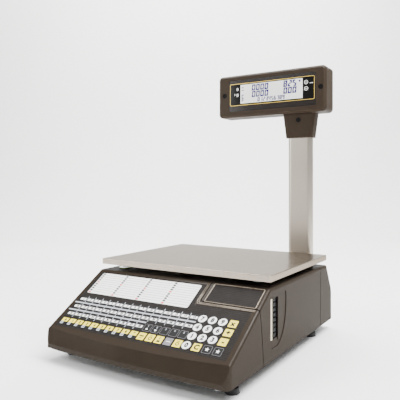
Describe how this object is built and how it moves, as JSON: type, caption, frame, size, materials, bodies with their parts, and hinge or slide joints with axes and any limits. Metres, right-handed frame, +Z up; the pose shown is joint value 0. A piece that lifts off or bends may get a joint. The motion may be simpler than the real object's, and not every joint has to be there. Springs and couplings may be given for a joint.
{
  "type": "label printing scale",
  "caption": "Counter scale with a steel weighing plate, sloped membrane keyboard, side-loading label printer and a display head on a rear column",
  "frame": {"origin": "on the table under the middle of the overall box", "axes": "X to the operator's right, Y from the operator to the back, Z up"},
  "size_m": [0.382, 0.496, 0.5786],
  "materials": {
    "body_plastic": "bronze-brown metallic moulded plastic, satin gloss",
    "black_plastic": "fine-grained black moulded plastic",
    "tray_steel": "black powder-coated sheet steel",
    "plate_steel": "brushed stainless steel, slightly warm",
    "pole_aluminium": "satin anodised aluminium extrusion",
    "cast_aluminium": "sand-blasted cast aluminium",
    "zinc_steel": "zinc-plated pressed steel",
    "bright_screw": "black-oxide and bright plated screws",
    "overlay_film": "dark dotted polyester film with printed keys",
    "window_acrylic": "dark glossy acrylic with gold line",
    "lcd_glass": "light grey display glass",
    "foot_rubber": "black rubber",
    "platen_rubber": "dark grey platen rubber",
    "buffer_rubber": "soft black rubber",
    "belt_rubber": "ribbed black belt",
    "circuit_board": "green solder mask with components",
    "supply_case": "perforated grey case",
    "label_paper": "white coated label paper on a yellowish liner",
    "liner_paper": "yellow glassine liner",
    "hub_plastic": "light grey moulded plastic",
    "brass_bush": "sintered bronze",
    "vial_acrylic": "clear vial with green liquid",
    "bar_metal": "champagne anodised bar"
  },
  "bodies": {
    "root": {"base_tray": "tray_steel", "upper_shell": "body_plastic", "keyboard_overlay": "overlay_film", "key_plate": "zinc_steel", "key_domes": "bright_screw", "cell_block": "zinc_steel", "load_cell": "cast_aluminium", "overload_stops": "zinc_steel", "plate_spider": "cast_aluminium", "plate_buffers": "buffer_rubber", "level_vial": "vial_acrylic", "main_board": "circuit_board", "power_supply": "supply_case", "connector_panel": "tray_steel", "mains_inlet": "black_plastic", "switch_frame": "black_plastic", "data_ports": "zinc_steel", "base_screws": "bright_screw", "pole_socket": "cast_aluminium", "pole": "pole_aluminium", "neck": "body_plastic", "head_front_shell": "body_plastic", "head_rear_shell": "body_plastic", "front_window": "window_acrylic", "rear_window": "window_acrylic", "front_lcd": "lcd_glass", "rear_lcd": "lcd_glass", "display_board": "circuit_board", "head_screws": "black_plastic", "cassette_rails": "zinc_steel", "latch_catch": "zinc_steel"},
    "weighing_plate": {"weighing_plate": "plate_steel"},
    "cassette": {"cassette_cover": "body_plastic", "name_panel": "overlay_film", "peel_bar": "bar_metal", "guide_comb": "black_plastic", "cassette_frame": "zinc_steel", "roll_spindles": "bright_screw", "printer_brackets": "zinc_steel", "platen_bushes": "brass_bush", "feed_motor": "black_plastic", "drive_belt": "belt_rubber", "label_sensor": "black_plastic", "hinge_pins": "bright_screw"},
    "supply_spool": {"supply_hub": "hub_plastic", "label_roll": "label_paper"},
    "rewind_spool": {"rewind_hub": "hub_plastic", "liner_roll": "liner_paper"},
    "platen": {"platen_roller": "platen_rubber", "platen_pulley": "hub_plastic"},
    "motor_rotor": {"motor_shaft": "bright_screw", "motor_pulley": "hub_plastic"},
    "head_arm": {"head_arm": "zinc_steel", "print_head": "cast_aluminium"},
    "cassette_latch": {"cassette_latch": "zinc_steel"},
    "switch_rocker": {"switch_rocker": "black_plastic"},
    "foot_front_left": {"foot_front_left": "foot_rubber"},
    "foot_front_right": {"foot_front_right": "foot_rubber"},
    "foot_rear_left": {"foot_rear_left": "foot_rubber"},
    "foot_rear_right": {"foot_rear_right": "foot_rubber"}
  },
  "joints": [
    {"name": "plate_lift", "type": "slide", "parent": "root", "child": "weighing_plate", "axis": [0, 0, 1], "range_m": [0, 0.12]},
    {"name": "cassette_slide", "type": "slide", "parent": "root", "child": "cassette", "axis": [1, 0, 0], "range_m": [0, 0.105]},
    {"name": "supply_spin", "type": "hinge", "parent": "cassette", "child": "supply_spool", "pos_m": [0.139, 0.0935, 0.08], "axis": [0, 0, 1], "continuous": true},
    {"name": "rewind_spin", "type": "hinge", "parent": "cassette", "child": "rewind_spool", "pos_m": [0.125, 0.0155, 0.08], "axis": [0, 0, 1], "continuous": true},
    {"name": "platen_spin", "type": "hinge", "parent": "cassette", "child": "platen", "pos_m": [0.168, -0.07418, 0.09], "axis": [0, 0, 1], "continuous": true},
    {"name": "motor_spin", "type": "hinge", "parent": "cassette", "child": "motor_rotor", "pos_m": [0.112, -0.07318, 0.12], "axis": [0, 0, 1], "continuous": true},
    {"name": "head_arm_pivot", "type": "hinge", "parent": "cassette", "child": "head_arm", "pos_m": [0.146, -0.10318, 0.09], "axis": [0, 0, -1], "range_deg": [0, 12], "stiffness_Nm_per_rad": 0.3},
    {"name": "latch_turn", "type": "hinge", "parent": "cassette", "child": "cassette_latch", "pos_m": [0.136, 0.1105, 0.024], "axis": [0, 0, -1], "range_deg": [0, 90]},
    {"name": "switch_rock", "type": "hinge", "parent": "root", "child": "switch_rocker", "pos_m": [-0.094, 0.2135, 0.0475], "axis": [1, 0, 0], "range_deg": [-10, 10]},
    {"name": "foot_front_left_turn", "type": "hinge", "parent": "root", "child": "foot_front_left", "pos_m": [-0.17, -0.19, 0.01], "axis": [0, 0, 1], "continuous": true},
    {"name": "foot_front_right_turn", "type": "hinge", "parent": "root", "child": "foot_front_right", "pos_m": [0.17, -0.19, 0.01], "axis": [0, 0, 1], "continuous": true},
    {"name": "foot_rear_left_turn", "type": "hinge", "parent": "root", "child": "foot_rear_left", "pos_m": [-0.17, 0.155, 0.01], "axis": [0, 0, 1], "continuous": true},
    {"name": "foot_rear_right_turn", "type": "hinge", "parent": "root", "child": "foot_rear_right", "pos_m": [0.17, 0.155, 0.01], "axis": [0, 0, 1], "continuous": true}
  ],
  "couplings": [
    {"joint": "motor_spin", "follows": "platen_spin", "ratio": 1.6667}
  ]
}
